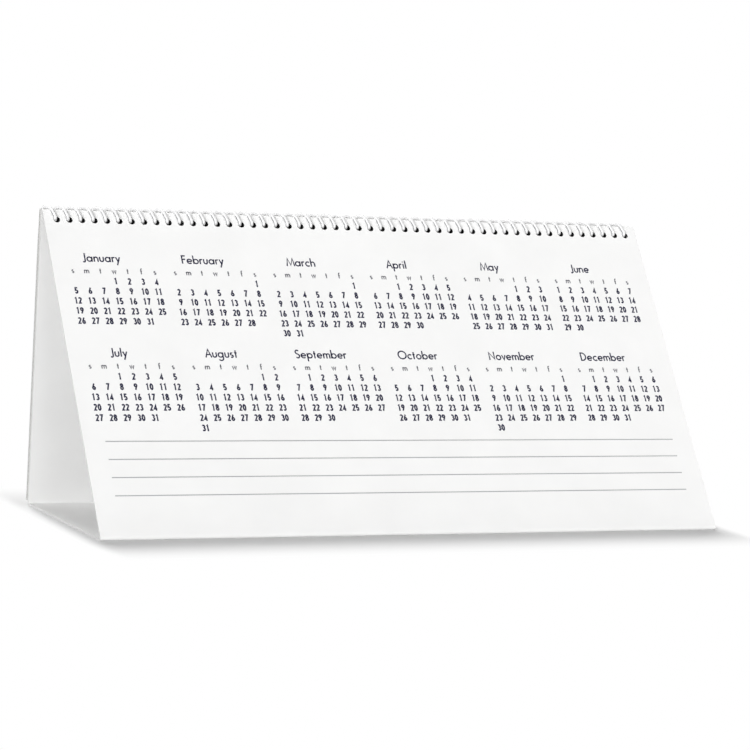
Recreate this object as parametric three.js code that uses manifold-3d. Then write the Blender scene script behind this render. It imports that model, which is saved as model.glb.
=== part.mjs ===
// Desk tent calendar: a card easel folded from one sheet, a pad of pages that hangs behind it,
// and the spiral coil that binds both through a row of punched holes. Millimetres, +Z up,
// +Y towards the back.
import * as THREE from "three";
import { mergeGeometries, mergeVertices } from "three/addons/utils/BufferGeometryUtils.js";
import Module from "manifold-3d";

const wasm = await Module();
wasm.setup();

// Driving dimensions
const calendarWidth = 215.9;
const frontPanelHeight = 117.5; // up the slope, from the front crease to the top edge
const baseDepth = 70; // front crease to back crease
const cardThickness = 0.6;
const creaseRadius = 0.3; // inside each fold
const topEdgeGap = 0.3; // between the front panel's top edge and the back panel
const pageHeight = 94;
const padThickness = 1.3;
const padClearance = 0.3; // pad to back panel
const holePitch = 25.4 / 6;
const holeDiameter = 2.3;
const holeInset = 3.6; // hole centre below a top edge
const wireDiameter = 1.1;
const wireClearance = 0.35; // wire to the edges and faces that it passes
const wireBulge = 0.35; // how far each strand bows away from the card
const wireDrift = 0.4; // sideways travel of the wire while it is inside the holes
const cutShare = 5 / 8; // share of its last turn at which the coil is cut, from the front hole on

// Roundness
const creaseSegments = 4;
const holeSides = 9;
const wireSides = 5;
const stepsPerTurn = 16;

// The front panel leans back until its top edge is one gap short of the upright back panel
const frontAngle =
  Math.atan2(cardThickness, frontPanelHeight) +
  Math.acos((baseDepth - cardThickness - topEdgeGap) / Math.hypot(frontPanelHeight, cardThickness));
const upSlope = new THREE.Vector2(Math.cos(frontAngle), Math.sin(frontAngle));
const outOfFront = new THREE.Vector2(-Math.sin(frontAngle), Math.cos(frontAngle));
const frontTop = upSlope.clone().multiplyScalar(frontPanelHeight);
const backTop = new THREE.Vector2(baseDepth, frontTop.y);

const padFront = baseDepth + padClearance;
const padBack = padFront + padThickness;
const wireOffset = wireDiameter / 2 + wireClearance;

const holeCount = Math.floor(calendarWidth / holePitch + 1e-6) - 1;
const firstHoleX = (-(holeCount - 1) * holePitch) / 2;

// Moves a section drawn in Y and Z, extruded along X, to its place about the middle of the width
function acrossWidth(geometry) {
  const across = new THREE.Matrix4().makeBasis(
    new THREE.Vector3(0, 1, 0),
    new THREE.Vector3(0, 0, 1),
    new THREE.Vector3(1, 0, 0),
  );
  return geometry.applyMatrix4(across).translate(-calendarWidth / 2, 0, 0);
}

function toSolid(geometry) {
  const bare = geometry.clone();
  bare.deleteAttribute("normal");
  bare.deleteAttribute("uv");
  const merged = mergeVertices(bare, 1e-5);
  return new wasm.Manifold(
    new wasm.Mesh({
      numProp: 3,
      vertProperties: new Float32Array(merged.attributes.position.array),
      triVerts: new Uint32Array(merged.index.array),
    }),
  );
}

function toGeometry(solid) {
  const mesh = solid.getMesh();
  const geometry = new THREE.BufferGeometry();
  geometry.setAttribute("position", new THREE.BufferAttribute(new Float32Array(mesh.vertProperties), 3));
  geometry.setIndex(new THREE.BufferAttribute(new Uint32Array(mesh.triVerts), 1));
  const flat = geometry.toNonIndexed();
  flat.computeVertexNormals();
  return flat;
}

// Section of the folded card: over the front panel's top edge and down its face, round the front
// crease, along the base, round the back crease and up the back panel, then back along the
// inner faces
function foldedSection() {
  const outerRadius = creaseRadius + cardThickness;
  const frontBend = new THREE.Vector2(outerRadius / Math.tan(frontAngle / 2), outerRadius);
  const backBend = new THREE.Vector2(baseDepth - outerRadius, outerRadius);
  const frontNormal = frontAngle + Math.PI / 2;
  const down = 1.5 * Math.PI;
  const back = 2 * Math.PI;
  const innerTop = frontTop.clone().addScaledVector(outOfFront, -cardThickness);

  const section = new THREE.Shape();
  section.moveTo(innerTop.x, innerTop.y);
  section.lineTo(frontTop.x, frontTop.y);
  section.absarc(frontBend.x, frontBend.y, outerRadius, frontNormal, down, false);
  section.absarc(backBend.x, backBend.y, outerRadius, down, back, false);
  section.lineTo(backTop.x, backTop.y);
  section.lineTo(backTop.x - cardThickness, backTop.y);
  section.absarc(backBend.x, backBend.y, creaseRadius, back, down, true);
  section.absarc(frontBend.x, frontBend.y, creaseRadius, down, frontNormal, true);
  section.closePath();
  return section;
}

// A row of round punches whose axes lie along `axis`, through the point (y, z) of the section
function punchRow(centre, axis) {
  const direction = new THREE.Vector3(0, axis.x, axis.y);
  const turn = new THREE.Quaternion().setFromUnitVectors(new THREE.Vector3(0, 1, 0), direction);
  const punches = [];
  for (let hole = 0; hole < holeCount; hole += 1) {
    const punch = new THREE.CylinderGeometry(
      holeDiameter / 2,
      holeDiameter / 2,
      4 * cardThickness,
      holeSides,
    );
    punch.applyQuaternion(turn);
    punch.translate(firstHoleX + hole * holePitch, centre.x, centre.y);
    punches.push(punch);
  }
  return toSolid(mergeGeometries(punches));
}

const frontHole = frontTop
  .clone()
  .addScaledVector(upSlope, -holeInset)
  .addScaledVector(outOfFront, -cardThickness / 2);
const backHole = new THREE.Vector2(baseDepth - cardThickness / 2, backTop.y - holeInset);

function easelGeometry() {
  const card = acrossWidth(
    new THREE.ExtrudeGeometry(foldedSection(), {
      depth: calendarWidth,
      bevelEnabled: false,
      curveSegments: creaseSegments,
    }),
  );
  const punched = toSolid(card)
    .subtract(punchRow(frontHole, outOfFront))
    .subtract(punchRow(backHole, new THREE.Vector2(1, 0)));
  return toGeometry(punched);
}

// The pad is drawn as the eye sees its page, with its top edge at zero, and stood up behind
// the back panel
function padGeometry() {
  const halfWidth = calendarWidth / 2;
  const page = new THREE.Shape();
  page.moveTo(-halfWidth, -pageHeight);
  page.lineTo(halfWidth, -pageHeight);
  page.lineTo(halfWidth, 0);
  page.lineTo(-halfWidth, 0);
  page.closePath();
  for (let hole = 0; hole < holeCount; hole += 1) {
    const punched = new THREE.Path();
    const outline = [];
    for (let side = 0; side < holeSides; side += 1) {
      const angle = (-2 * Math.PI * side) / holeSides;
      outline.push(
        new THREE.Vector2(
          firstHoleX + hole * holePitch + (holeDiameter / 2) * Math.cos(angle),
          -holeInset + (holeDiameter / 2) * Math.sin(angle),
        ),
      );
    }
    punched.setFromPoints(outline);
    punched.closePath();
    page.holes.push(punched);
  }
  const pad = new THREE.ExtrudeGeometry(page, { depth: padThickness, bevelEnabled: false });
  pad.rotateX(Math.PI / 2);
  pad.translate(0, padBack, backTop.y);
  return pad;
}

// One turn of the coil seen from the end: out of the front hole, up the front strand, over the
// top edges, down behind the pad, and in through the pad and the back panel
function turnSection() {
  const strandHeight = holeInset / 2;
  const cornerOffset = wireOffset * 0.8;
  const points = [
    frontHole,
    frontHole
      .clone()
      .addScaledVector(outOfFront, cardThickness / 2 + wireOffset)
      .addScaledVector(upSlope, wireOffset / 2),
    frontTop
      .clone()
      .addScaledVector(upSlope, -strandHeight)
      .addScaledVector(outOfFront, wireOffset + wireBulge),
    frontTop
      .clone()
      .addScaledVector(upSlope, cornerOffset / 2)
      .addScaledVector(outOfFront, cornerOffset),
    new THREE.Vector2(padBack + cornerOffset, backTop.y + cornerOffset / 2),
    new THREE.Vector2(padBack + wireOffset + wireBulge, backTop.y - strandHeight),
    new THREE.Vector2(padBack + wireOffset / 2, backHole.y + wireOffset / 4),
    backHole,
  ];
  return new THREE.CatmullRomCurve3(
    points.map((point) => new THREE.Vector3(0, point.x, point.y)),
    true,
    "centripetal",
  );
}

// The wire's middle line. From one front hole to the next it travels one pitch towards -X: nearly
// all of it outside the card, and the drift inside. It starts behind the pad at the right-hand end
// and is cut after it has come out of the last front hole and over the top.
class CoilPath extends THREE.Curve {
  constructor() {
    super();
    this.section = turnSection();
    this.insideShare = 2 / this.section.points.length; // pad to back panel to front panel
    this.turns = holeCount;
    this.lengths = this.section.getLengths(stepsPerTurn);
    this.outsideLength = this.lengthTo(1 - this.insideShare);
  }

  // Length of wire from the front hole to a share of the turn, seen from the end
  lengthTo(phase) {
    const step = Math.min(Math.floor(phase * stepsPerTurn), stepsPerTurn - 1);
    return THREE.MathUtils.lerp(
      this.lengths[step],
      this.lengths[step + 1],
      phase * stepsPerTurn - step,
    );
  }

  getPoint(t, target = new THREE.Vector3()) {
    const wound = cutShare - 1 + t * this.turns;
    const turn = Math.floor(wound);
    const phase = wound - turn;
    const outside = Math.min(this.lengthTo(phase) / this.outsideLength, 1);
    const inside = Math.max(0, (phase - 1 + this.insideShare) / this.insideShare);
    this.section.getPoint(phase, target);
    target.x =
      -firstHoleX -
      turn * holePitch -
      wireDrift / 2 -
      (holePitch - wireDrift) * outside -
      wireDrift * inside;
    return target;
  }

  // Steps are even in turns, not in length, so that the bends get as many as the strands
  getPointAt(u, target) {
    return this.getPoint(u, target);
  }

  getTangentAt(u, target) {
    return this.getTangent(u, target);
  }
}

function coilGeometry() {
  const path = new CoilPath();
  const wire = new THREE.Shape();
  for (let side = 0; side < wireSides; side += 1) {
    const angle = (2 * Math.PI * side) / wireSides;
    const x = (wireDiameter / 2) * Math.cos(angle);
    const y = (wireDiameter / 2) * Math.sin(angle);
    if (side === 0) wire.moveTo(x, y);
    else wire.lineTo(x, y);
  }
  wire.closePath();
  return new THREE.ExtrudeGeometry(wire, {
    steps: path.turns * stepsPerTurn,
    extrudePath: path,
    bevelEnabled: false,
  });
}

function named(name, geometry, material) {
  const mesh = new THREE.Mesh(geometry, new THREE.MeshStandardMaterial(material));
  mesh.name = name;
  return mesh;
}

const calendar = new THREE.Group();
calendar.add(named("easel", easelGeometry(), { color: 0xf8f8f6, roughness: 0.7, metalness: 0 }));
calendar.add(named("page_pad", padGeometry(), { color: 0xf4f3ef, roughness: 0.85, metalness: 0 }));
calendar.add(named("spiral_coil", coilGeometry(), { color: 0xe8e8e8, roughness: 0.35, metalness: 0 }));

// The origin is on the ground, under the middle of the whole calendar
const extent = new THREE.Box3().setFromObject(calendar);
calendar.position.y = -(extent.min.y + extent.max.y) / 2;

export default calendar;
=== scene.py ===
import bpy
import numpy as np
from mathutils import Matrix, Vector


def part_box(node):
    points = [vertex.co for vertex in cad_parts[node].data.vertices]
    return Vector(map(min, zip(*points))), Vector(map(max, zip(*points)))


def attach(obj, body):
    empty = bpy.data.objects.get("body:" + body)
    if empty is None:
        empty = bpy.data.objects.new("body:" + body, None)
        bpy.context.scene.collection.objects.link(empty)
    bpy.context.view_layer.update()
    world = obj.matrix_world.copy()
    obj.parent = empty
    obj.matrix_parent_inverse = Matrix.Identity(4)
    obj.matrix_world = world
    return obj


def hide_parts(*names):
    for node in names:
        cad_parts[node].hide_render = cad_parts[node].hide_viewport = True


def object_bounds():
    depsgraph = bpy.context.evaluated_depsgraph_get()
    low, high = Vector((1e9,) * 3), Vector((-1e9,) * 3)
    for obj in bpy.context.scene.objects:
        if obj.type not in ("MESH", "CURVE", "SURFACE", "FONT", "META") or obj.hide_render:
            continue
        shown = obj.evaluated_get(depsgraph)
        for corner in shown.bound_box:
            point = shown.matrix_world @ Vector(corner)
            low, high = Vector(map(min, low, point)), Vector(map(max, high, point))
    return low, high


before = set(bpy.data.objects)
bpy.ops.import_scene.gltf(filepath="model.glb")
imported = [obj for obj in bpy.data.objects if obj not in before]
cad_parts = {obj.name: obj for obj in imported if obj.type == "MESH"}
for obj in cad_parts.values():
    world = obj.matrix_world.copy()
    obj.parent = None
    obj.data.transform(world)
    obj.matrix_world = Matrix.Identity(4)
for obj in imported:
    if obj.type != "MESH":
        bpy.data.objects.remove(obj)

cadLow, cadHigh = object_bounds()
mm = 0.001
beyond = 1.0  # metres, farther out than any face of the calendar


def say(text):
    print("calendar:", text)


# The card easel. Where the CAD parts' boxes don't give a size, it stands here in metres.
easel = {
    "frontHeight": 117.5 * mm,  # up the slope
    "thickness": 0.6 * mm,
    "topEdgeGap": 0.3 * mm,
    "holePitch": 25.4 / 6 * mm,
    "holeInset": 3.6 * mm,
    "holeDiameter": 2.3 * mm,
}
easelLow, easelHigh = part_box("easel")
padLow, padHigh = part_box("page_pad")
width = easelHigh.x - easelLow.x
topHeight = easelHigh.z
frontAngle = np.arcsin(topHeight / easel["frontHeight"])
upSlope = np.array([0.0, np.cos(frontAngle), np.sin(frontAngle)])
outOfFront = np.array([0.0, -np.sin(frontAngle), np.cos(frontAngle)])
frontTopY = (easelHigh.y - easel["thickness"] - easel["topEdgeGap"]
             - easel["thickness"] * np.sin(frontAngle))
holeCount = int(width / easel["holePitch"] + 0.001) - 1
firstHoleX = -(holeCount - 1) * easel["holePitch"] / 2
rowReach = easel["holeDiameter"] - firstHoleX  # how far the punched rows go to each side
rowHeight = topHeight - easel["holeInset"]  # of the middle of the punched rows

# Printed faces: where the top left corner is for the reader, and which way is right, up and out
frontFace = {
    "corner": np.array([easelLow.x, frontTopY, topHeight]),
    "right": np.array([1.0, 0.0, 0.0]),
    "up": upSlope,
    "out": outOfFront,
}
pageFace = {
    "corner": np.array([padHigh.x, padHigh.y, padHigh.z]),
    "right": np.array([-1.0, 0.0, 0.0]),
    "up": np.array([0.0, 0.0, 1.0]),
    "out": np.array([0.0, 1.0, 0.0]),
    "leaves": True,  # what is printed here follows the last leaf
}


# A point's place is the corner, plus right, down and out times the face's three directions
def onFace(face, right, down, lift):
    return (face["corner"] + np.multiply.outer(right, face["right"])
            - np.multiply.outer(down, face["up"]) + np.multiply.outer(lift, face["out"]))


def makePiece(name, points, faces, material, smooth=False):
    mesh = bpy.data.meshes.new(name)
    mesh.from_pydata(np.asarray(points).tolist(), [], faces)
    mesh.polygons.foreach_set("use_smooth", [smooth] * len(mesh.polygons))
    mesh.materials.append(material)
    mesh.update()
    piece = bpy.data.objects.new(name, mesh)
    bpy.context.scene.collection.objects.link(piece)
    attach(piece, "root")
    return piece


# Materials
def newMaterial(name):
    material = bpy.data.materials.new(name)
    material.use_nodes = True
    nodes, links = material.node_tree.nodes, material.node_tree.links
    shader = nodes["Principled BSDF"]
    place = nodes.new("ShaderNodeTexCoord")
    return material, nodes, links, shader, place.outputs["Object"]


def noise(nodes, links, place, scale, detail=3):
    texture = nodes.new("ShaderNodeTexNoise")
    texture.inputs["Scale"].default_value = scale
    texture.inputs["Detail"].default_value = detail
    links.new(place, texture.inputs["Vector"])
    return texture.outputs["Fac"]


def ramp(nodes, links, value, dark, light, start=0.3, end=0.7):
    colours = nodes.new("ShaderNodeValToRGB")
    colours.color_ramp.elements[0].position = start
    colours.color_ramp.elements[1].position = end
    colours.color_ramp.elements[0].color = (*dark, 1)
    colours.color_ramp.elements[1].color = (*light, 1)
    links.new(value, colours.inputs["Fac"])
    return colours.outputs["Color"]


# Colour, gloss and a fine relief, as a look's dictionary gives them
def finishSurface(nodes, links, place, shader, colour, look):
    links.new(colour, shader.inputs["Base Color"])
    shader.inputs["Roughness"].default_value = look["roughness"]
    shader.inputs["Specular IOR Level"].default_value = look["gloss"]
    relief = nodes.new("ShaderNodeBump")
    relief.inputs["Strength"].default_value = look["relief"]
    relief.inputs["Distance"].default_value = look["reliefDepth"]
    height = noise(nodes, links, place, look["reliefScale"], look["reliefDetail"])
    links.new(height, relief.inputs["Height"])
    links.new(relief.outputs["Normal"], shader.inputs["Normal"])


# 1 inside a box given by its low and high corner, and 0 outside it
def insideBox(nodes, links, place, low, high):
    half = [(h - l) / 2 for l, h in zip(low, high)]
    middle = [(h + l) / 2 for l, h in zip(low, high)]
    steps = (("SUBTRACT", middle), ("ABSOLUTE", None), ("SUBTRACT", half))
    value = place
    for operation, amount in steps:
        step = nodes.new("ShaderNodeVectorMath")
        step.operation = operation
        links.new(value, step.inputs[0])
        if amount:
            step.inputs[1].default_value = amount
        value = step.outputs[0]
    split = nodes.new("ShaderNodeSeparateXYZ")
    links.new(value, split.inputs[0])
    farthest = split.outputs["X"]
    for axis in ("Y", "Z"):
        larger = nodes.new("ShaderNodeMath")
        larger.operation = "MAXIMUM"
        links.new(farthest, larger.inputs[0])
        links.new(split.outputs[axis], larger.inputs[1])
        farthest = larger.outputs[0]
    inside = nodes.new("ShaderNodeMath")
    inside.operation = "LESS_THAN"
    inside.inputs[1].default_value = 0
    links.new(farthest, inside.inputs[0])
    return inside.outputs[0]


def blendColour(nodes, links, share, first, second):
    mix = nodes.new("ShaderNodeMix")
    mix.data_type = "RGBA"
    links.new(share, mix.inputs["Factor"])
    for socket, colour in (("A", first), ("B", second)):
        if isinstance(colour, tuple):
            mix.inputs[socket].default_value = (*colour, 1)
        else:
            links.new(colour, mix.inputs[socket])
    return mix.outputs["Result"]


def bothOf(nodes, links, first, second):
    both = nodes.new("ShaderNodeMath")
    both.operation = "MULTIPLY"
    links.new(first, both.inputs[0])
    links.new(second, both.inputs[1])
    return both.outputs[0]


cardLook = {
    "light": (0.935, 0.935, 0.93),
    "dark": (0.905, 0.905, 0.90),
    "core": (0.74, 0.74, 0.735),
    # painted shade in the punched holes and on the hidden faces beside them
    "hole": (0.035, 0.035, 0.037),
    "holeShade": 2.4 * mm,  # how far the painted shade goes above and below the row of holes
    "skin": 0.02 * mm,  # how deep the colour of a face goes
    "frontSkin": 0.06 * mm,  # the same on the sloping front face
    "cloudScale": 60,
    "reliefScale": 1400,
    "reliefDetail": 5,
    "relief": 0.12,
    "reliefDepth": 0.02 * mm,
    "roughness": 0.62,
    "gloss": 0.12,
}


# Smooth white board: faint clouding, fine fibres as relief, a greyer core on its cut ends, and
# painted shade, dark, in the punched holes and on the hidden faces of both panels beside them
def cardMaterial():
    material, nodes, links, shader, place = newMaterial("whiteCard")
    colour = ramp(nodes, links, noise(nodes, links, place, cardLook["cloudScale"]),
                  cardLook["dark"], cardLook["light"])
    for end in (easelLow.x, easelHigh.x):
        cut = insideBox(nodes, links, place, (end - cardLook["skin"], -beyond, -beyond),
                        (end + cardLook["skin"], beyond, beyond))
        colour = blendColour(nodes, links, cut, colour, cardLook["core"])
    depth = nodes.new("ShaderNodeVectorMath")
    depth.operation = "DOT_PRODUCT"
    links.new(place, depth.inputs[0])
    depth.inputs[1].default_value = outOfFront.tolist()
    behindFace = nodes.new("ShaderNodeMath")
    behindFace.operation = "LESS_THAN"
    behindFace.inputs[1].default_value = outOfFront @ frontFace["corner"] - cardLook["frontSkin"]
    links.new(depth.outputs["Value"], behindFace.inputs[0])
    shade = cardLook["holeShade"]
    band = insideBox(nodes, links, place, (-rowReach, -beyond, rowHeight - shade),
                     (rowReach, easelHigh.y - cardLook["skin"], rowHeight + shade))
    # Painted shade: dark in the band round the hole row, behind the front face's skin
    dark = bothOf(nodes, links, band, behindFace.outputs[0])
    colour = blendColour(nodes, links, dark, colour, cardLook["hole"])
    finishSurface(nodes, links, place, shader, colour, cardLook)
    return material


pageLook = {
    "light": (0.92, 0.92, 0.905),
    "dark": (0.89, 0.89, 0.875),
    "between": (0.36, 0.36, 0.35),  # painted shade in the gaps between the sheets
    "edge": (0.84, 0.84, 0.83),  # on the sheets' cut edges
    "waveGap": 0.0,  # up to this value the wave paints the shade of a gap,
    "waveEdge": 0.6,  # and from this one on a cut edge
    # painted shade in the punched holes
    "hole": (0.05, 0.05, 0.05),
    "holeShade": 1.38 * mm,
    "skin": 0.03 * mm,
    "sheets": 12,
    "cloudScale": 90,
    "reliefScale": 1900,
    "reliefDetail": 6,
    "relief": 0.2,
    "reliefDepth": 0.02 * mm,
    "roughness": 0.8,
    "gloss": 0.2,
}


# Uncoated paper: softer clouding than the card and stronger fibres. On the pad's edges a wave
# across its thickness paints shade between the sheets, and the punched holes get painted shade
def pageMaterial():
    material, nodes, links, shader, place = newMaterial("uncoatedPaper")
    colour = ramp(nodes, links, noise(nodes, links, place, pageLook["cloudScale"]),
                  pageLook["dark"], pageLook["light"])
    perMetre = 2 * np.pi * pageLook["sheets"] / (padHigh.y - padLow.y)
    split = nodes.new("ShaderNodeSeparateXYZ")
    links.new(place, split.inputs[0])
    sheets = nodes.new("ShaderNodeMath")
    sheets.operation = "MULTIPLY_ADD"
    links.new(split.outputs["Y"], sheets.inputs[0])
    sheets.inputs[1].default_value = perMetre
    sheets.inputs[2].default_value = -perMetre * padLow.y
    wave = nodes.new("ShaderNodeMath")
    wave.operation = "COSINE"
    links.new(sheets.outputs[0], wave.inputs[0])
    # Painted shade in the gaps between the sheets, drawn by the wave
    edges = ramp(nodes, links, wave.outputs[0], pageLook["between"], pageLook["edge"],
                 pageLook["waveGap"], pageLook["waveEdge"])
    skin, shade = pageLook["skin"], pageLook["holeShade"]
    face = insideBox(nodes, links, place, (padLow.x + skin, -beyond, padLow.z + skin),
                     (padHigh.x - skin, beyond, padHigh.z - skin))
    colour = blendColour(nodes, links, face, edges, colour)
    # Painted shade: dark in the punched holes and on the hidden faces beside them
    holes = insideBox(nodes, links, place, (-rowReach, -beyond, rowHeight - shade),
                      (rowReach, padHigh.y - skin, rowHeight + shade))
    colour = blendColour(nodes, links, holes, colour, pageLook["hole"])
    finishSurface(nodes, links, place, shader, colour, pageLook)
    return material


coilLook = {
    "light": (0.88, 0.88, 0.885),
    "dark": (0.84, 0.84, 0.845),
    # painted shade along both flanks of the wire
    "flankShade": (0.30, 0.30, 0.31),
    "flankShadeStart": 0.62,  # of the radius to either side, where the painted shade of the flanks begins
    "cloudScale": 700,
    "reliefScale": 700,
    "reliefDetail": 3,
    "relief": 0.05,
    "reliefDepth": 0.02 * mm,
    "roughness": 0.28,
    "gloss": 0.5,
}


# White coated wire: an even gloss with a little mottling in the coat, and painted shade along both
# flanks
def coilMaterial():
    material, nodes, links, shader, place = newMaterial("coatedWire")
    mottle = ramp(nodes, links, noise(nodes, links, place, coilLook["cloudScale"]),
                  coilLook["dark"], coilLook["light"])
    flankShade = nodes.new("ShaderNodeAttribute")
    flankShade.attribute_name = "flankShade"
    share = nodes.new("ShaderNodeMapRange")
    share.interpolation_type = "SMOOTHSTEP"
    share.inputs["From Min"].default_value = coilLook["flankShadeStart"]
    links.new(flankShade.outputs["Fac"], share.inputs["Value"])
    colour = blendColour(nodes, links, share.outputs["Result"], mottle, coilLook["flankShade"])
    finishSurface(nodes, links, place, shader, colour, coilLook)
    return material


inkLook = {
    "dark": ((0.018, 0.018, 0.045), (0.028, 0.028, 0.062)),
    "grey": ((0.13, 0.13, 0.15), (0.19, 0.19, 0.21)),
    "rule": ((0.34, 0.34, 0.35), (0.40, 0.40, 0.41)),
    "grain": 2600,
    "roughness": 0.55,
    "gloss": 0.2,
}


# Printing ink: one colour that the paper's grain lets vary a little
def inkMaterial(tone):
    material, nodes, links, shader, place = newMaterial(tone + "Ink")
    thin, full = inkLook[tone]
    grain = ramp(nodes, links, noise(nodes, links, place, inkLook["grain"]), thin, full)
    links.new(grain, shader.inputs["Base Color"])
    shader.inputs["Roughness"].default_value = inkLook["roughness"]
    shader.inputs["Specular IOR Level"].default_value = inkLook["gloss"]
    return material


cardFinish = cardMaterial()
pageFinish = pageMaterial()
coilFinish = coilMaterial()
darkInk = inkMaterial("dark")
greyInk = inkMaterial("grey")
ruleInk = inkMaterial("rule")
say("materials made")

for name, finish in (("easel", cardFinish), ("page_pad", pageFinish)):
    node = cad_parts[name]
    node.data.materials.clear()
    node.data.materials.append(finish)


# The pad's last leaves, seen from behind. From a line just below the coil they lift a little
# towards their free bottom corner
leaves = {
    "count": 3,
    "paper": 0.1 * mm,
    "start": 5.6 * mm,  # below the pad's top edge
    "taper": 5.0 * mm,
    "lift": 1.4 * mm,
    "farShare": 0.04,  # of the lift, at the other bottom corner
    "apart": 0.004 * mm,  # between one leaf and the next
    "columns": 40,
    "rows": 24,
}


# Height of a leaf's outer face above the pad. With s running from 0 at the start to 1 at the
# bottom and u from 0 to 1 across, it is the papers so far, grown in over the taper, plus the lift
# times the leaf's share of it, times s^2, times far + (1 - far) (1 - u)^2
def leafHeight(right, down, leaf, papers):
    below = np.maximum(down - leaves["start"], 0)
    s = below / (padHigh.z - padLow.z - leaves["start"])
    u = right / width
    grown = np.minimum(below / leaves["taper"], 1) * papers * leaves["paper"]
    share = leaf / leaves["count"]
    far = leaves["farShare"]
    lifted = leaves["lift"] * share * s**2 * (far + (1 - far) * (1 - u) ** 2)
    return grown + lifted + leaves["apart"] * leaf


# A closed slab: the grid of a leaf's outer face, the same grid one paper lower, and the four
# walls between their rims
def makeLeaves():
    columns, rows = leaves["columns"], leaves["rows"]
    height = padHigh.z - padLow.z
    right, down = np.meshgrid(np.linspace(0, width, columns),
                              np.linspace(leaves["start"], height, rows))
    right, down = right.ravel(), down.ravel()
    index = np.arange(rows * columns).reshape(rows, columns)
    outer = np.stack([index[:-1, :-1], index[1:, :-1], index[1:, 1:], index[:-1, 1:]], -1)
    outer = outer.reshape(-1, 4)
    rim = np.concatenate([index[0, :-1], index[:-1, -1], index[-1, :0:-1], index[:0:-1, 0]])
    ahead = np.roll(rim, -1)
    under = rows * columns
    walls = np.column_stack([rim, ahead, ahead + under, rim + under])
    faces = np.vstack([outer, outer[:, ::-1] + under, walls])
    for leaf in range(1, leaves["count"] + 1):
        points = np.vstack([onFace(pageFace, right, down, leafHeight(right, down, leaf, papers))
                            for papers in (leaf, leaf - 1)])
        piece = makePiece("loose_leaf_%d" % leaf, points, faces.tolist(), pageFinish)


makeLeaves()
say("last leaves lifted")


# The coil
coil = {
    "wire": 1.1 * mm,
    "clearance": 0.1 * mm,  # to the sheets
    "bulge": 0.12 * mm,  # how far a strand bows away from them
    "drift": 0.7 * mm,  # sideways, while the wire is inside the holes
    "seat": 0.25 * mm,  # above the middle of each hole
    "corner": 0.8,  # of the way out to a strand, where the wire turns over the top edges
    "cutShare": 5 / 8,  # of the last turn, from the front hole on
    "stepsPerTurn": 56,
    "outlineSteps": 800,
    "sides": 14,
    "endSwell": 0.02,  # the least of a ring's area, at the ends
    "flankShadeGain": 1.3,  # how soon the painted shade of the flanks grows as the wire turns upright,
    "flankShadePower": 3,  # and how suddenly
}


# The eight points of a turn, in Y and Z, that the wire's middle line passes through
def turnPoints():
    offset = coil["wire"] / 2 + coil["clearance"]
    corner = offset * coil["corner"]
    half = easel["thickness"] / 2
    strand = easel["holeInset"] / 2
    up, out = upSlope[1:], outOfFront[1:]
    frontTop = np.array([frontTopY, topHeight])
    frontHole = frontTop - (easel["holeInset"] - coil["seat"]) * up - half * out
    backHole = np.array([easelHigh.y - half, topHeight - easel["holeInset"] + coil["seat"]])
    return np.array([
        frontHole,
        frontHole + (half + offset) * out + offset / 2 * up,
        frontTop - strand * up + (offset + coil["bulge"]) * out,
        frontTop + corner / 2 * up + corner * out,
        [padHigh.y + corner, topHeight + corner / 2],
        [padHigh.y + offset + coil["bulge"], topHeight - strand],
        [padHigh.y + offset / 2, backHole[1] + offset / 4],
        backHole,
    ])


# A closed centripetal spline: between two points a cubic whose slopes come from the four
# nearest points, spaced by the square root of their distances
def turnAt(points, phase):
    count = len(points)
    at = phase * count
    low = np.floor(at).astype(int)
    share = (at - low)[:, None]
    before, start, end, after = (points[(low + k) % count] for k in (-1, 0, 1, 2))
    gaps = [np.sqrt(np.linalg.norm(b - a, axis=1))[:, None]
            for a, b in ((before, start), (start, end), (end, after))]
    slopeIn = gaps[1] * ((start - before) / gaps[0] - (end - before) / (gaps[0] + gaps[1])
                         + (end - start) / gaps[1])
    slopeOut = gaps[1] * ((end - start) / gaps[1] - (after - start) / (gaps[1] + gaps[2])
                          + (after - end) / gaps[2])
    return (start + slopeIn * share + (3 * end - 3 * start - 2 * slopeIn - slopeOut) * share**2
            + (2 * start - 2 * end + slopeIn + slopeOut) * share**3)


# The turn repeated for each hole, while X falls by one pitch a turn: by the drift inside the
# holes, and for the rest in step with the length of wire outside them
def coilPath():
    points = turnPoints()
    insideShare = 2 / len(points)
    steps = coil["stepsPerTurn"] * holeCount
    wound = coil["cutShare"] - 1 + np.arange(steps + 1) / coil["stepsPerTurn"]
    turn = np.floor(wound)
    phase = wound - turn
    fine = np.linspace(0, 1, coil["outlineSteps"] + 1)
    outline = turnAt(points, fine)
    run = np.concatenate([[0], np.cumsum(np.linalg.norm(np.diff(outline, axis=0), axis=1))])
    whole = np.interp(1 - insideShare, fine, run)
    outside = np.minimum(np.interp(phase, fine, run) / whole, 1)
    inside = np.maximum(0, (phase - 1 + insideShare) / insideShare)
    x = (-firstHoleX - turn * easel["holePitch"] - coil["drift"] / 2
         - (easel["holePitch"] - coil["drift"]) * outside - coil["drift"] * inside)
    return np.column_stack([x, turnAt(points, phase)])


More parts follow.
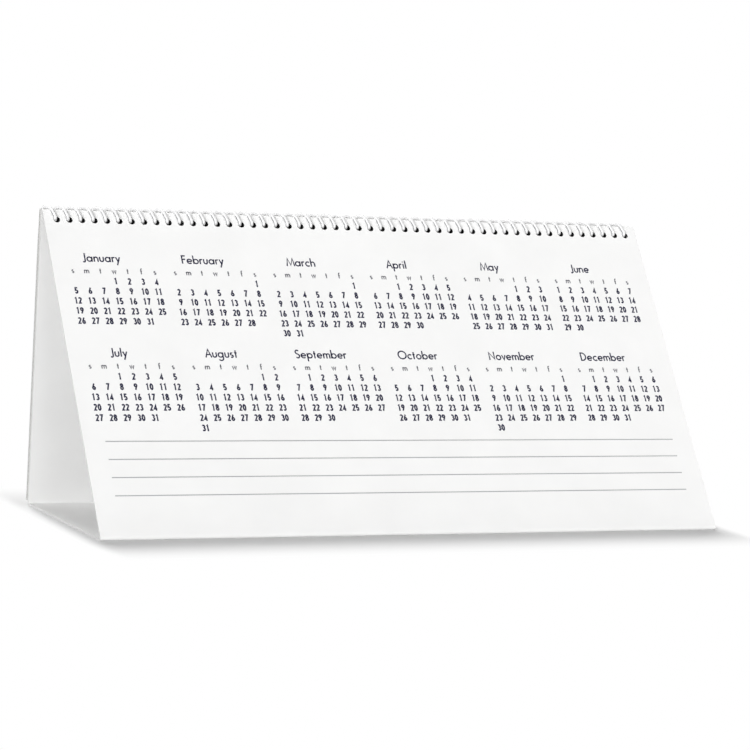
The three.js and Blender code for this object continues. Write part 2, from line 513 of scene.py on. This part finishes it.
# A ring of points round each point of the line, square to it, at the radius times the root of
# 1 - (1 - s)^2 within one radius of an end, where s runs from 0 to 1, so the ends are domes
def tube(line, radius, sides):
    along = np.gradient(line, axis=0)
    along /= np.linalg.norm(along, axis=1)[:, None]
    across = np.array([1.0, 0, 0]) - along[:, :1] * along
    across /= np.linalg.norm(across, axis=1)[:, None]
    third = np.cross(along, across)
    run = np.concatenate([[0], np.cumsum(np.linalg.norm(np.diff(line, axis=0), axis=1))])
    toEnd = np.minimum(run, run[-1] - run) / radius
    swell = np.sqrt(np.clip(1 - (1 - np.minimum(toEnd, 1)) ** 2, coil["endSwell"], 1))
    angle = np.linspace(0, 2 * np.pi, sides, endpoint=False)
    circles = (np.cos(angle)[None, :, None] * across[:, None]
               + np.sin(angle)[None, :, None] * third[:, None])
    points = line[:, None] + radius * swell[:, None, None] * circles
    rows = np.arange(len(line) - 1)[:, None] * sides
    here = np.arange(sides)[None]
    there = (here + 1) % sides
    walls = np.stack([rows + here, rows + there, rows + sides + there, rows + sides + here], -1)
    last = (len(line) - 1) * sides
    faces = walls.reshape(-1, 4).tolist()
    faces += [list(range(sides))[::-1], list(range(last, last + sides))]
    return points.reshape(-1, 3), faces


# The share of painted shade at each point of the wire: how far to the side it is, from 0 in front
# to 1 at its flanks, where the wire runs up or down the sheets, times a power of its steepness
def flankShadeShare(line):
    angle = np.linspace(0, 2 * np.pi, coil["sides"], endpoint=False)
    along = np.gradient(line, axis=0)
    steep = np.abs(along[:, 2]) / np.linalg.norm(along, axis=1)
    steep = np.minimum(coil["flankShadeGain"] * steep, 1) ** coil["flankShadePower"]
    return np.outer(steep, np.abs(np.cos(angle))).ravel()


def makeCoil():
    line = coilPath()
    points, faces = tube(line, coil["wire"] / 2, coil["sides"])
    piece = makePiece("coil_wire", points, faces, coilFinish, smooth=True)
    # The painted shade of the flanks, for each point
    flankShade = piece.data.attributes.new("flankShade", "FLOAT", "POINT")
    flankShade.data.foreach_set("value", flankShadeShare(line))
    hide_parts("spiral_coil")


makeCoil()
say("coil wound through %d holes" % holeCount)


# Lettering. Every letter is a few strokes of one width, in units of a capital's height.
# Points on an ellipse from one angle to another, in degrees
def bow(x, y, rx, ry, start, end, count):
    angle = np.radians(np.linspace(start, end, count))
    return np.column_stack([x + rx * np.cos(angle), y + ry * np.sin(angle)])


# The same all the way round, as a closed stroke
def ring(x, y, rx, ry, count):
    return bow(x, y, rx, ry, 90, 450, count + 1)[:-1], True


# An open stroke through points and bows in turn
def path(*parts):
    return np.vstack([np.atleast_2d(np.array(part, float)) for part in parts]), False


# The round body of a small letter
def bowl(x):
    return ring(x, 0.3, 0.255, 0.255, 16)


# Half a round, from the stem at x over to the next one
def arch(x, radius):
    return bow(x + radius, 0.555 - radius, radius, radius, 180, 0, 7)


# How far each letter takes the line on, and its strokes
letters = {
    "a": (0.68, [bowl(0.3), path((0.56, 0), (0.56, 0.6))]),
    "b": (0.66, [path((0.06, 0), (0.06, 1.02)), bowl(0.32)]),
    "c": (0.54, [path(bow(0.31, 0.3, 0.255, 0.255, 48, 312, 13))]),
    "e": (0.64, [path((0.06, 0.3), (0.56, 0.3)), path(bow(0.31, 0.3, 0.255, 0.255, 0, 315, 15))]),
    "f": (0.34, [path((0.13, 0), (0.13, 0.86), bow(0.27, 0.86, 0.14, 0.12, 160, 60, 4)),
                 path((0.02, 0.56), (0.28, 0.56))]),
    "g": (0.68, [bowl(0.3),
                 path((0.56, 0.6), (0.56, -0.1), bow(0.3, -0.1, 0.255, 0.24, -20, -150, 7))]),
    "h": (0.56, [path((0.06, 0), (0.06, 1.02)), path(arch(0.06, 0.2), (0.46, 0))]),
    "i": (0.20, [path((0.08, 0), (0.08, 0.6)), path((0.08, 0.78), (0.08, 0.88))]),
    "l": (0.20, [path((0.08, 0), (0.08, 1.02))]),
    "m": (0.84, [path((0.06, 0), (0.06, 0.6)), path(arch(0.06, 0.17), (0.40, 0)),
                 path(arch(0.40, 0.17), (0.74, 0))]),
    "n": (0.56, [path((0.06, 0), (0.06, 0.6)), path(arch(0.06, 0.2), (0.46, 0))]),
    "o": (0.66, [bowl(0.32)]),
    "p": (0.66, [path((0.06, -0.36), (0.06, 0.6)), bowl(0.32)]),
    "r": (0.36, [path((0.06, 0), (0.06, 0.6)), path(bow(0.22, 0.395, 0.16, 0.16, 180, 50, 6))]),
    "s": (0.42, [path(bow(0.19, 0.43, 0.12, 0.125, 40, 250, 8),
                      bow(0.19, 0.17, 0.14, 0.125, 70, -140, 8))]),
    "t": (0.34, [path((0.15, 0), (0.15, 0.86)), path((0.02, 0.56), (0.28, 0.56))]),
    "u": (0.54, [path((0.06, 0.6), bow(0.25, 0.235, 0.19, 0.19, 180, 360, 9), (0.44, 0.6))]),
    "v": (0.46, [path((0.03, 0.6), (0.23, 0.02), (0.43, 0.6))]),
    "w": (0.70, [path((0.03, 0.6), (0.18, 0.02), (0.35, 0.56), (0.52, 0.02), (0.67, 0.6))]),
    "y": (0.48, [path((0.03, 0.6), (0.24, 0.05)), path((0.45, 0.6), (0.10, -0.36))]),
    "A": (0.70, [path((0.02, 0), (0.34, 0.96), (0.66, 0)), path((0.14, 0.34), (0.54, 0.34))]),
    "D": (0.74, [path((0.2, 0.955), (0.07, 0.955), (0.07, 0.045), (0.2, 0.045)),
                 path(bow(0.2, 0.5, 0.44, 0.455, 90, -90, 15))]),
    "F": (0.50, [path((0.46, 0.955), (0.07, 0.955), (0.07, 0)), path((0.07, 0.53), (0.42, 0.53))]),
    "J": (0.40, [path((0.28, 1), (0.28, 0.16), bow(0.14, 0.1, 0.14, 0.15, 0, -140, 6))]),
    "M": (0.92, [path((0.03, 0), (0.18, 0.93), (0.46, 0.1), (0.74, 0.93), (0.89, 0))]),
    "N": (0.76, [path((0.07, 0), (0.07, 0.9), (0.65, 0.1), (0.65, 1))]),
    "O": (1.04, [ring(0.52, 0.5, 0.455, 0.455, 24)]),
    "S": (0.56, [path(bow(0.27, 0.735, 0.19, 0.22, 30, 240, 9),
                      bow(0.27, 0.27, 0.21, 0.225, 65, -145, 9))]),
}
figures = {
    "0": (0.56, [ring(0.28, 0.5, 0.165, 0.415, 10)]),
    "1": (0.56, [path((0.14, 0.80), (0.29, 0.92), (0.29, 0))]),
    "2": (0.56, [path(bow(0.28, 0.73, 0.155, 0.185, 165, -25, 6), (0.13, 0.085), (0.47, 0.085))]),
    "3": (0.56, [path(bow(0.26, 0.73, 0.15, 0.185, 150, -60, 5),
                      bow(0.26, 0.30, 0.17, 0.215, 60, -150, 6))]),
    "4": (0.56, [path((0.37, 0), (0.37, 0.9), (0.11, 0.26), (0.50, 0.26))]),
    "5": (0.56, [path((0.45, 0.915), (0.17, 0.915), (0.15, 0.52),
                      bow(0.26, 0.32, 0.17, 0.235, 90, -150, 6))]),
    "6": (0.56, [ring(0.28, 0.29, 0.165, 0.205, 8), path((0.135, 0.38), (0.35, 0.97))]),
    "7": (0.56, [path((0.09, 0.915), (0.44, 0.915), (0.20, 0))]),
    "8": (0.56, [ring(0.28, 0.72, 0.14, 0.195, 7), ring(0.28, 0.29, 0.17, 0.21, 8)]),
    "9": (0.56, [ring(0.28, 0.71, 0.165, 0.205, 8), path((0.425, 0.62), (0.21, 0.03))]),
}


ink = {
    "film": 0.03 * mm,  # above the paper
    "sunk": 0.02 * mm,  # into it
    "mitre": 1.8,  # the most that a corner may widen a stroke
    "rulePoints": 33,
}


# Left and right edges of a stroke: half its width to each side, with mitred corners
def strokeOutline(points, closed, weight):
    if closed:
        ahead, behind = np.roll(points, -1, 0) - points, points - np.roll(points, 1, 0)
    else:
        step = np.diff(points, axis=0)
        ahead, behind = np.vstack([step, step[-1:]]), np.vstack([step[:1], step])
    ahead = ahead / np.linalg.norm(ahead, axis=1)[:, None]
    behind = behind / np.linalg.norm(behind, axis=1)[:, None]
    middle = ahead + behind
    middle /= np.linalg.norm(middle, axis=1)[:, None]
    mitre = np.clip(1 / np.maximum((middle * ahead).sum(1), 0.01), 1, ink["mitre"])[:, None]
    side = np.column_stack([-middle[:, 1], middle[:, 0]]) * mitre * weight / 2
    return points + side, points - side


# A thin closed slab in the shape of a stroke: right, up and 1 or 0 for its top and bottom
def strokeSlab(points, closed, weight):
    left, right = strokeOutline(points, closed, weight)
    count = len(points)
    flat = np.vstack([left, right, left, right])
    level = np.repeat([1.0, 0.0], 2 * count)[:, None]
    i = np.arange(count if closed else count - 1)
    j = (i + 1) % count
    leftTop, rightTop, leftBase, rightBase = (k * count for k in range(4))
    faces = np.vstack([
        np.column_stack([leftTop + i, rightTop + i, rightTop + j, leftTop + j]),
        np.column_stack([leftBase + j, rightBase + j, rightBase + i, leftBase + i]),
        np.column_stack([leftTop + i, leftTop + j, leftBase + j, leftBase + i]),
        np.column_stack([rightTop + j, rightTop + i, rightBase + i, rightBase + j]),
    ])
    if not closed:
        end = count - 1
        faces = np.vstack([
            faces,
            [[leftTop, leftBase, rightBase, rightTop]],
            [[rightTop + end, rightBase + end, leftBase + end, leftTop + end]],
        ])
    return np.hstack([flat, level]), faces


# Collects strokes on one face, in metres right of and below the face's top left corner
class Print:
    def __init__(self, face):
        self.face, self.points, self.faces, self.count = face, [], [], 0

    def add(self, slab, faces, right, down, size):
        across, below = right + slab[:, 0] * size, down - slab[:, 1] * size
        lift = slab[:, 2] * (ink["film"] + ink["sunk"]) - ink["sunk"]
        if "leaves" in self.face:
            lift = lift + leafHeight(across, below, leaves["count"], leaves["count"])
        self.points.append(onFace(self.face, across, below, lift))
        self.faces.append(faces + self.count)
        self.count += len(slab)

    def write(self, glyphs, text, centre, base, size, weight, spacing=0.0):
        widths = [glyphs[letter][0] + spacing for letter in text]
        start = centre - sum(widths) * size / 2
        for letter, advance in zip(text, widths):
            for points, closed in glyphs[letter][1]:
                self.add(*strokeSlab(points, closed, weight), start, base, size)
            start += advance * size

    def rule(self, right, down, toRight, toDown, weight):
        share = np.linspace(0, 1, ink["rulePoints"])[:, None]
        points = share * np.array([[toRight - right, down - toDown]])
        self.add(*strokeSlab(points, False, weight), right, down, 1.0)

    def piece(self, name, material, slot):
        made = makePiece(name, np.vstack(self.points), np.vstack(self.faces).tolist(), material)
        return made


# The year on the front panel. Places are from its top left corner
year = {
    "names": ["January", "February", "March", "April", "May", "June", "July", "August",
              "September", "October", "November", "December"],
    "days": [31, 28, 31, 30, 31, 30, 31, 31, 30, 31, 30, 31],
    "firstWeekday": 3,  # the year starts on a Wednesday, and weeks on a Sunday
    "weekdays": "smtwtfs",
    "acrossRow": 6,
    "firstColumn": 6.55 * mm,
    "columnPitch": 4.61 * mm,
    "monthPitch": 34.65 * mm,
    "blockPitch": 34.5 * mm,
    "nameCentre": 16.9 * mm,
    "nameBase": 19.0 * mm,
    "nameSize": 3.1 * mm,
    "nameWeight": 0.15,
    "nameSpacing": 0.065,
    "weekdayBase": 23.3 * mm,
    "weekdaySize": 2.05 * mm,
    "weekdayWeight": 0.18,
    "firstRow": 27.2 * mm,
    "rowPitch": 3.65 * mm,
    "figureSize": 2.33 * mm,
    "figureWeight": 0.215,
}


def printYear():
    names, weekdays, dates = Print(frontFace), Print(frontFace), Print(frontFace)
    weekday = year["firstWeekday"]
    for month, (name, days) in enumerate(zip(year["names"], year["days"])):
        right = month % year["acrossRow"] * year["monthPitch"]
        down = month // year["acrossRow"] * year["blockPitch"]
        names.write(letters, name, right + year["nameCentre"], down + year["nameBase"],
                    year["nameSize"], year["nameWeight"], year["nameSpacing"])
        column = right + year["firstColumn"]
        for place, initial in enumerate(year["weekdays"]):
            weekdays.write(letters, initial, column + place * year["columnPitch"],
                           down + year["weekdayBase"], year["weekdaySize"], year["weekdayWeight"])
        for day in range(days):
            place = weekday + day
            dates.write(figures, str(day + 1), column + place % 7 * year["columnPitch"],
                        down + year["firstRow"] + place // 7 * year["rowPitch"],
                        year["figureSize"], year["figureWeight"])
        weekday = (weekday + days) % 7
    names.piece("print_month_names", darkInk, "card")
    weekdays.piece("print_weekdays", greyInk, "card")
    dates.piece("print_dates", darkInk, "card")


# Ruled lines below the year, for notes
notes = {
    "left": 7.1 * mm,
    "right": 208.6 * mm,
    "first": 83.4 * mm,
    "pitch": 6.25 * mm,
    "lines": 4,
    "weight": 0.32 * mm,
}


def printNoteLines():
    lines = Print(frontFace)
    for line in range(notes["lines"]):
        down = notes["first"] + line * notes["pitch"]
        lines.rule(notes["left"], down, notes["right"], down, notes["weight"])
    lines.piece("print_note_lines", ruleInk, "card")


# A plain month on the last leaf
monthPage = {
    "name": "January",
    "days": 31,
    "nameCentre": 20 * mm,
    "nameBase": 16.5 * mm,
    "nameSize": 5.4 * mm,
    "nameWeight": 0.11,
    "nameSpacing": 0.05,
    "weekdayBase": 22.8 * mm,
    "weekdaySize": 2.8 * mm,
    "weekdayWeight": 0.14,
    "margin": 8 * mm,
    "gridTop": 25 * mm,
    "rows": 5,
    "foot": 5 * mm,
    "figureIn": 3.4 * mm,
    "figureDown": 5.2 * mm,
    "figureSize": 3.4 * mm,
    "figureWeight": 0.15,
    "line": 0.22 * mm,
}


def printMonthPage():
    dark, grey, grid = Print(pageFace), Print(pageFace), Print(pageFace)
    left, right = monthPage["margin"], width - monthPage["margin"]
    top, bottom = monthPage["gridTop"], padHigh.z - padLow.z - monthPage["foot"]
    columnStep = (right - left) / 7
    rowStep = (bottom - top) / monthPage["rows"]
    dark.write(letters, monthPage["name"], monthPage["nameCentre"], monthPage["nameBase"],
               monthPage["nameSize"], monthPage["nameWeight"], monthPage["nameSpacing"])
    for column, initial in enumerate(year["weekdays"]):
        grey.write(letters, initial, left + (column + 0.5) * columnStep, monthPage["weekdayBase"],
                   monthPage["weekdaySize"], monthPage["weekdayWeight"])
    for line in range(7 + 1):
        across = left + line * columnStep
        grid.rule(across, top, across, bottom, monthPage["line"])
    for line in range(monthPage["rows"] + 1):
        down = top + line * rowStep
        grid.rule(left, down, right, down, monthPage["line"])
    for day in range(monthPage["days"]):
        place = year["firstWeekday"] + day
        dark.write(figures, str(day + 1), left + place % 7 * columnStep + monthPage["figureIn"],
                   top + place // 7 * rowStep + monthPage["figureDown"],
                   monthPage["figureSize"], monthPage["figureWeight"])
    dark.piece("page_print_dark", darkInk, "pages")
    grey.piece("page_print_weekdays", greyInk, "pages")
    grid.piece("page_print_grid", ruleInk, "pages")


printYear()
printNoteLines()
printMonthPage()
say("front panel and last leaf printed")


# Camera, at the photograph's viewing angle
view = {
    "azimuth": -25.11,  # degrees, from straight in front
    "elevation": 6.16,
    "roll": 3.235,
    "place": (-0.4233, -0.8976, 0.1537),
    "focal": 3064.4,  # pixels, in an image 750 wide
    "image": 750,
    "sensor": 36.0,
    "clip": (0.01, 20),
}


# Unit vector from the origin towards a place that far round from the front and that far up
def directionOf(azimuth, elevation):
    return np.array([np.sin(azimuth) * np.cos(elevation), -np.cos(azimuth) * np.cos(elevation),
                     np.sin(elevation)])


def placeCamera():
    azimuth, elevation, roll = np.radians([view["azimuth"], view["elevation"], view["roll"]])
    back = directionOf(azimuth, elevation)
    level = np.cross(-back, [0, 0, 1])
    level /= np.linalg.norm(level)
    upright = np.cross(back, level)
    right = np.cos(roll) * level + np.sin(roll) * upright
    up = -np.sin(roll) * level + np.cos(roll) * upright
    lens = bpy.data.cameras.new("photoCamera")
    lens.sensor_width = view["sensor"]
    lens.lens = view["focal"] / view["image"] * view["sensor"]
    lens.clip_start, lens.clip_end = view["clip"]
    camera = bpy.data.objects.new("photoCamera", lens)
    pose = Matrix(np.column_stack([right, up, back]).tolist()).to_4x4()
    pose.translation = view["place"]
    camera.matrix_world = pose
    bpy.context.scene.collection.objects.link(camera)
    bpy.context.scene.camera = camera


placeCamera()


# Floor, light and background
studio = {
    "floorHalf": 4.0,
    "floorLevel": -0.02 * mm,
    "floorColour": (0.76, 0.76, 0.76),
    "floorRoughness": 0.9,
    "floorFade": 0.034,  # from the footprint to where the plain floor has turned into plain white
    "fadeAcross": 5,  # times as fast beyond the ends of the footprint
    "ambient": 0.16,
    "suns": {  # where each lamp stands, in degrees from the front and above the floor
        "behind": {"azimuth": 176, "elevation": 45, "strength": 0.70, "spread": 16},
        "frontLeft": {"azimuth": -51, "elevation": 22, "strength": 0.67, "spread": 20},
        "front": {"azimuth": 8, "elevation": 12, "strength": 0.35, "spread": 40},
    },
}


# The share of camera, glossy and transmission rays, for what only they are to see
def seenDirectly(nodes, links):
    rays = nodes.new("ShaderNodeLightPath")
    share = rays.outputs["Is Camera Ray"]
    for kind in ("Is Glossy Ray", "Is Transmission Ray"):
        either = nodes.new("ShaderNodeMath")
        either.operation = "MAXIMUM"
        links.new(share, either.inputs[0])
        links.new(rays.outputs[kind], either.inputs[1])
        share = either.outputs[0]
    return share


# A plain matt floor that keeps the shadow, and fades into plain white with its distance
def floorMaterial():
    material, nodes, links, shader, place = newMaterial("paleFloor")
    shader.inputs["Base Color"].default_value = (*studio["floorColour"], 1)
    shader.inputs["Roughness"].default_value = studio["floorRoughness"]
    shader.inputs["Specular IOR Level"].default_value = 0.0
    seen = seenDirectly(nodes, links)
    value = place
    steps = (("ABSOLUTE", None), ("SUBTRACT", cadHigh), ("MAXIMUM", (0, 0, 0)),
             ("MULTIPLY", (studio["fadeAcross"], 1, 1)))
    for operation, amount in steps:
        step = nodes.new("ShaderNodeVectorMath")
        step.operation = operation
        links.new(value, step.inputs[0])
        if amount:
            step.inputs[1].default_value = amount
        value = step.outputs[0]
    away = nodes.new("ShaderNodeVectorMath")
    away.operation = "LENGTH"
    links.new(value, away.inputs[0])
    fade = nodes.new("ShaderNodeMapRange")
    fade.interpolation_type = "SMOOTHSTEP"
    fade.inputs["From Max"].default_value = studio["floorFade"]
    links.new(away.outputs["Value"], fade.inputs["Value"])
    share = nodes.new("ShaderNodeMath")
    share.operation = "MULTIPLY"
    links.new(fade.outputs["Result"], share.inputs[0])
    links.new(seen, share.inputs[1])
    white = nodes.new("ShaderNodeEmission")
    mix = nodes.new("ShaderNodeMixShader")
    links.new(share.outputs[0], mix.inputs[0])
    links.new(shader.outputs[0], mix.inputs[1])
    links.new(white.outputs[0], mix.inputs[2])
    links.new(mix.outputs[0], nodes["Material Output"].inputs["Surface"])
    return material


def makeFloor():
    half, level = studio["floorHalf"], studio["floorLevel"]
    mesh = bpy.data.meshes.new("floor")
    corners = [(-half, -half, level), (half, -half, level),
               (half, half, level), (-half, half, level)]
    mesh.from_pydata(corners, [], [(0, 1, 2, 3)])
    mesh.materials.append(floorMaterial())
    floor = bpy.data.objects.new("floor", mesh)
    bpy.context.scene.collection.objects.link(floor)


# Plain light from all round, and plain white where the camera looks past the floor
def lightWorld():
    world = bpy.data.worlds.new("studio")
    bpy.context.scene.world = world
    world.use_nodes = True
    nodes, links = world.node_tree.nodes, world.node_tree.links
    nodes.clear()
    soft = nodes.new("ShaderNodeBackground")
    soft.inputs["Strength"].default_value = studio["ambient"]
    white = nodes.new("ShaderNodeBackground")
    for background in (soft, white):
        background.inputs["Color"].default_value = (1, 1, 1, 1)
    mix = nodes.new("ShaderNodeMixShader")
    links.new(seenDirectly(nodes, links), mix.inputs[0])
    links.new(soft.outputs[0], mix.inputs[1])
    links.new(white.outputs[0], mix.inputs[2])
    output = nodes.new("ShaderNodeOutputWorld")
    links.new(mix.outputs[0], output.inputs["Surface"])


# A distant lamp. Its strength is the share of full white that it gives a matt white surface
# that faces it
def hangSun(name, sun):
    back = directionOf(*np.radians([sun["azimuth"], sun["elevation"]]))
    right = np.cross([0, 0, 1], back)
    right /= np.linalg.norm(right)
    light = bpy.data.lights.new(name, "SUN")
    light.energy = sun["strength"] * np.pi
    light.angle = np.radians(sun["spread"])
    lamp = bpy.data.objects.new(name, light)
    pose = Matrix(np.column_stack([right, np.cross(back, right), back]).tolist()).to_4x4()
    pose.translation = back
    lamp.matrix_world = pose
    bpy.context.scene.collection.objects.link(lamp)


makeFloor()
lightWorld()
for sunName, sunSettings in studio["suns"].items():
    hangSun(sunName, sunSettings)
bpy.context.scene.view_settings.view_transform = "Standard"
say("camera, floor and light placed")
